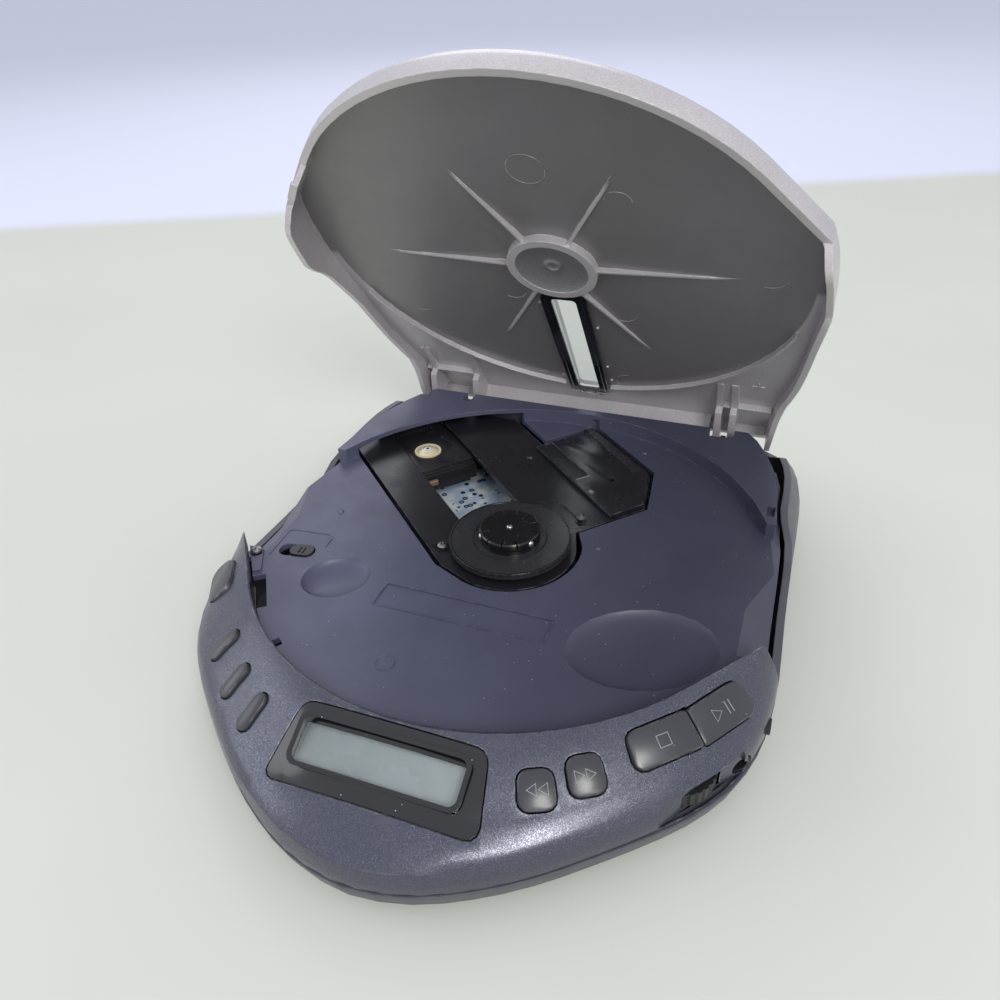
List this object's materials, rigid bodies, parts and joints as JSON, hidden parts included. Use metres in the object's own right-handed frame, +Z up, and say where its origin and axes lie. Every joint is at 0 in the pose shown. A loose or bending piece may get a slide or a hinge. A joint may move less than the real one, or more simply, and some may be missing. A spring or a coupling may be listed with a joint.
{
  "type": "portable cd player",
  "caption": "Portable disc player with its lid standing open on a round well, a domed front panel with display and keys, and a turntable and pickup deck.",
  "frame": {"origin": "on the flat underside of the case, straight below the disc spindle", "axes": "+Z up out of the well, +Y towards the lid hinge, -Y towards the display, +X to the side with the volume wheel"},
  "size_m": [0.1322, 0.1669, 0.1268],
  "materials": {
    "case": "fine-grained moulded plastic",
    "panel": "metallic dark blue-grey paint",
    "well": "matte slate plastic",
    "lid": "metallic silver-grey paint",
    "black": "black plastic",
    "key": "dark key plastic",
    "gloss": "polished black",
    "clear": "clear moulded plastic",
    "steel": "bright steel",
    "alloy": "die-cast alloy",
    "brass": "bare brass",
    "gold_plastic": "gold-brown moulded holder",
    "lens_glass": "coated lens",
    "board": "circuit board",
    "rubber": "soft rubber",
    "display": "grey-green display glass",
    "nylon": "natural nylon"
  },
  "bodies": {
    "case": {"bottom_case": "case", "front_panel": "panel", "disc_well": "well", "hinge_pin_left": "steel", "hinge_pin_right": "steel", "deck_chassis": "black", "deck_cover": "black", "spindle_motor": "steel", "guide_rod": "steel", "sled_motor": "steel", "deck_screw_1": "steel", "deck_screw_2": "steel", "latch_screw": "steel", "damper_bush_1": "rubber", "damper_bush_2": "rubber", "damper_bush_3": "rubber", "main_board": "board", "key_board": "board", "display_lens": "clear", "display_module": "display", "volume_control": "black", "phones_jack": "black", "dc_jack": "black", "line_jack": "black", "bridge_contact": "steel", "minus_contact": "steel", "plus_contact": "steel", "foot_1": "rubber", "foot_2": "rubber", "foot_3": "rubber", "foot_4": "rubber"},
    "lid": {"lid_shell": "lid", "lid_window": "clear", "window_frame": "gloss"},
    "turntable": {"turntable": "key", "spindle_shaft": "steel"},
    "ball_1": {"clamp_ball_1": "nylon"},
    "ball_2": {"clamp_ball_2": "nylon"},
    "ball_3": {"clamp_ball_3": "nylon"},
    "sled": {"pickup_sled": "alloy"},
    "lens": {"lens_holder": "gold_plastic", "objective_lens": "lens_glass"},
    "lead_screw": {"lead_screw": "steel", "lead_screw_gear": "nylon"},
    "pinion": {"motor_pinion": "brass"},
    "open_button": {"open_button": "key"},
    "latch": {"latch_slider": "nylon"},
    "volume_wheel": {"volume_wheel": "key"},
    "hold_switch": {"hold_switch": "black"},
    "side_switch": {"side_switch": "black"},
    "battery_door": {"battery_door": "case"},
    "buffer_key": {"buffer_key": "key"},
    "play_mode_key": {"play_mode_key": "key"},
    "repeat_key": {"repeat_key": "key"},
    "skip_back_key": {"skip_back_key": "key"},
    "skip_forward_key": {"skip_forward_key": "key"},
    "stop_key": {"stop_key": "key"},
    "play_key": {"play_key": "key"}
  },
  "joints": [
    {"name": "lid_hinge", "type": "hinge", "parent": "case", "child": "lid", "pos_m": [0, 0.0689, 0.0161], "axis": [1, 0, 0], "range_deg": [0, 53.8]},
    {"name": "turntable_spin", "type": "hinge", "parent": "case", "child": "turntable", "pos_m": [0, 0, 0.021], "axis": [0, 0, 1], "continuous": true},
    {"name": "sled_slide", "type": "slide", "parent": "case", "child": "sled", "axis": [-0.7314, 0.682, 0], "range_m": [-0.0296, 0.0018]},
    {"name": "lens_focus", "type": "slide", "parent": "sled", "child": "lens", "axis": [0, 0, 1], "range_m": [-0.0004, 0.0004], "stiffness_N_per_m": 60, "springref_m": 0.00003},
    {"name": "lead_screw_turn", "type": "hinge", "parent": "case", "child": "lead_screw", "pos_m": [0.0105, 0.01126, 0.011], "axis": [-0.7314, 0.682, 0], "range_deg": [-4460, 280]},
    {"name": "pinion_turn", "type": "hinge", "parent": "case", "child": "pinion", "pos_m": [0.01569, 0.01682, 0.011], "axis": [-0.7314, 0.682, 0], "range_deg": [-380, 6130]},
    {"name": "open_press", "type": "slide", "parent": "case", "child": "open_button", "axis": [0.5608, 0.3199, -0.7636], "range_m": [0, 0.0012], "stiffness_N_per_m": 300, "springref_m": -0.0006},
    {"name": "latch_slide", "type": "slide", "parent": "case", "child": "latch", "axis": [-0.8221, -0.5693, 0], "range_m": [0, 0.0015]},
    {"name": "volume_turn", "type": "hinge", "parent": "case", "child": "volume_wheel", "pos_m": [0.0501, -0.0458, 0.0107], "axis": [0, 0, 1], "range_deg": [-140, 140]},
    {"name": "hold_slide", "type": "slide", "parent": "case", "child": "hold_switch", "axis": [-0.9903, -0.1392, 0], "range_m": [0, 0.0026]},
    {"name": "side_switch_slide", "type": "slide", "parent": "case", "child": "side_switch", "axis": [0, 1, 0], "range_m": [0, 0.0039]},
    {"name": "battery_door_hinge", "type": "hinge", "parent": "case", "child": "battery_door", "pos_m": [0, -0.0546, 0.0012], "axis": [-1, 0, 0], "range_deg": [0, 90]},
    {"name": "ball_1_press", "type": "slide", "parent": "turntable", "child": "ball_1", "axis": [0.0698, -0.9976, 0], "range_m": [0, 0.0005], "stiffness_N_per_m": 100, "springref_m": -0.0003},
    {"name": "ball_2_press", "type": "slide", "parent": "turntable", "child": "ball_2", "axis": [0.829, 0.5592, 0], "range_m": [0, 0.0005], "stiffness_N_per_m": 100, "springref_m": -0.0003},
    {"name": "ball_3_press", "type": "slide", "parent": "turntable", "child": "ball_3", "axis": [-0.8988, 0.4384, 0], "range_m": [0, 0.0005], "stiffness_N_per_m": 100, "springref_m": -0.0003},
    {"name": "buffer_press", "type": "slide", "parent": "case", "child": "buffer_key", "axis": [0.3788, 0.4282, -0.8205], "range_m": [0, 0.0005], "stiffness_N_per_m": 300, "springref_m": -0.0005},
    {"name": "play_mode_press", "type": "slide", "parent": "case", "child": "play_mode_key", "axis": [0.3091, 0.4833, -0.8191], "range_m": [0, 0.0005], "stiffness_N_per_m": 300, "springref_m": -0.0005},
    {"name": "repeat_press", "type": "slide", "parent": "case", "child": "repeat_key", "axis": [0.2266, 0.4949, -0.8389], "range_m": [0, 0.0005], "stiffness_N_per_m": 300, "springref_m": -0.0005},
    {"name": "skip_back_press", "type": "slide", "parent": "case", "child": "skip_back_key", "axis": [-0.2136, 0.4867, -0.847], "range_m": [0, 0.0005], "stiffness_N_per_m": 300, "springref_m": -0.0005},
    {"name": "skip_forward_press", "type": "slide", "parent": "case", "child": "skip_forward_key", "axis": [-0.2873, 0.4762, -0.8311], "range_m": [0, 0.0005], "stiffness_N_per_m": 300, "springref_m": -0.0005},
    {"name": "stop_press", "type": "slide", "parent": "case", "child": "stop_key", "axis": [-0.3792, 0.3913, -0.8385], "range_m": [0, 0.0005], "stiffness_N_per_m": 300, "springref_m": -0.0005},
    {"name": "play_press", "type": "slide", "parent": "case", "child": "play_key", "axis": [-0.4817, 0.3201, -0.8158], "range_m": [0, 0.0005], "stiffness_N_per_m": 300, "springref_m": -0.0005}
  ],
  "couplings": [
    {"joint": "lead_screw_turn", "follows": "sled_slide", "rad_per_m": 2618},
    {"joint": "pinion_turn", "follows": "sled_slide", "rad_per_m": -3599.7},
    {"joint": "latch_slide", "follows": "open_press", "ratio": 1.2}
  ]
}
